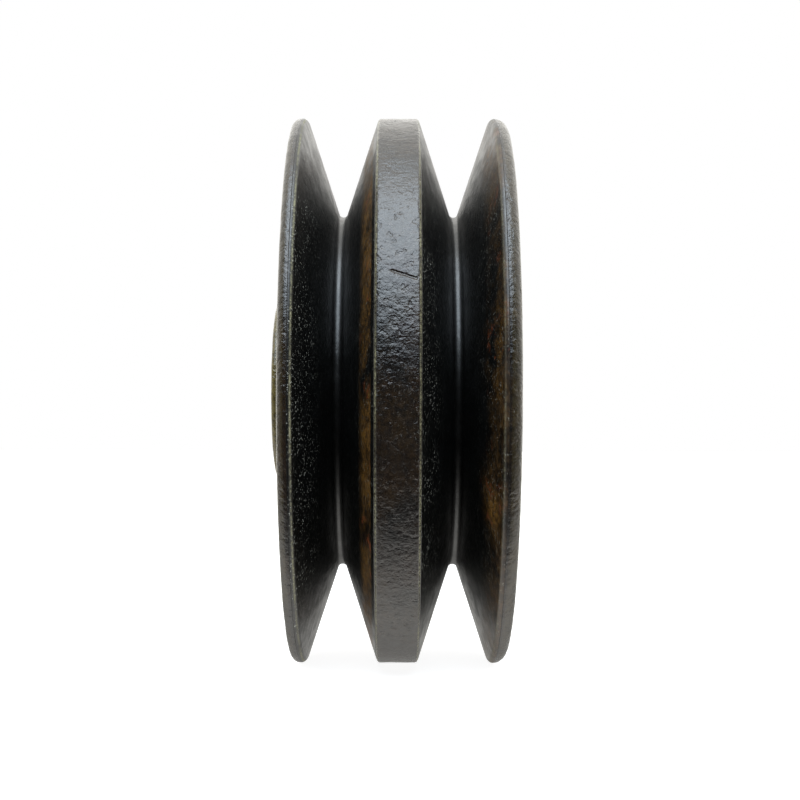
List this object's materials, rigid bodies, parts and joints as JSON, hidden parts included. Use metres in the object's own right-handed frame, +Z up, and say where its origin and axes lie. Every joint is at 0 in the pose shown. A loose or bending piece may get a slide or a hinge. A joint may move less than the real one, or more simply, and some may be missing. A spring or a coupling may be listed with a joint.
{
  "type": "v belt pulley",
  "caption": "Double-groove V belt pulley in black-enamelled cast iron with an offset hub boss, turning on sealed ball bearings around a clamped inner sleeve.",
  "frame": {"origin": "on the pulley's axis, midway between the two grooves, which is also the middle of the overall box", "axes": "+Y along the axis of rotation, away from the side with the long hub boss; +Z up; +X towards the viewer of the picture"},
  "size_m": [0.127, 0.0576, 0.127],
  "materials": {
    "black_enamel": "gloss black enamel over a rough casting, worn on the edges",
    "bearing_steel": "ground bearing steel",
    "ball_steel": "polished ball",
    "cage_steel": "pressed steel, dull",
    "seal_rubber": "moulded nitrile",
    "turned_steel": "turned, lightly oiled",
    "spring_steel": "phosphated spring steel"
  },
  "bodies": {
    "inner_stack": {"inner_ring_left": "bearing_steel", "inner_ring_right": "bearing_steel", "inner_spacer": "turned_steel", "collar_left": "turned_steel", "collar_right": "turned_steel"},
    "pulley": {"sheave": "black_enamel", "outer_ring_left": "bearing_steel", "outer_ring_right": "bearing_steel", "seal_left_outer": "seal_rubber", "seal_left_inner": "seal_rubber", "seal_right_outer": "seal_rubber", "seal_right_inner": "seal_rubber", "retaining_ring_left": "spring_steel", "retaining_ring_right": "spring_steel"},
    "cage_set_left": {"cage_left": "cage_steel", "ball_left_1": "ball_steel", "ball_left_2": "ball_steel", "ball_left_3": "ball_steel", "ball_left_4": "ball_steel", "ball_left_5": "ball_steel", "ball_left_6": "ball_steel", "ball_left_7": "ball_steel"},
    "cage_set_right": {"cage_right": "cage_steel", "ball_right_1": "ball_steel", "ball_right_2": "ball_steel", "ball_right_3": "ball_steel", "ball_right_4": "ball_steel", "ball_right_5": "ball_steel", "ball_right_6": "ball_steel", "ball_right_7": "ball_steel"}
  },
  "joints": [
    {"name": "pulley_spin", "type": "hinge", "parent": "inner_stack", "child": "pulley", "pos_m": [0, 0, 0], "axis": [0, 1, 0], "continuous": true},
    {"name": "cage_left_spin", "type": "hinge", "parent": "inner_stack", "child": "cage_set_left", "pos_m": [0, -0.0213, 0], "axis": [0, 1, 0], "continuous": true},
    {"name": "cage_right_spin", "type": "hinge", "parent": "inner_stack", "child": "cage_set_right", "pos_m": [0, 0.01585, 0], "axis": [0, 1, 0], "continuous": true}
  ],
  "couplings": [
    {"joint": "cage_left_spin", "follows": "pulley_spin", "ratio": 0.6353},
    {"joint": "cage_right_spin", "follows": "pulley_spin", "ratio": 0.6353}
  ]
}
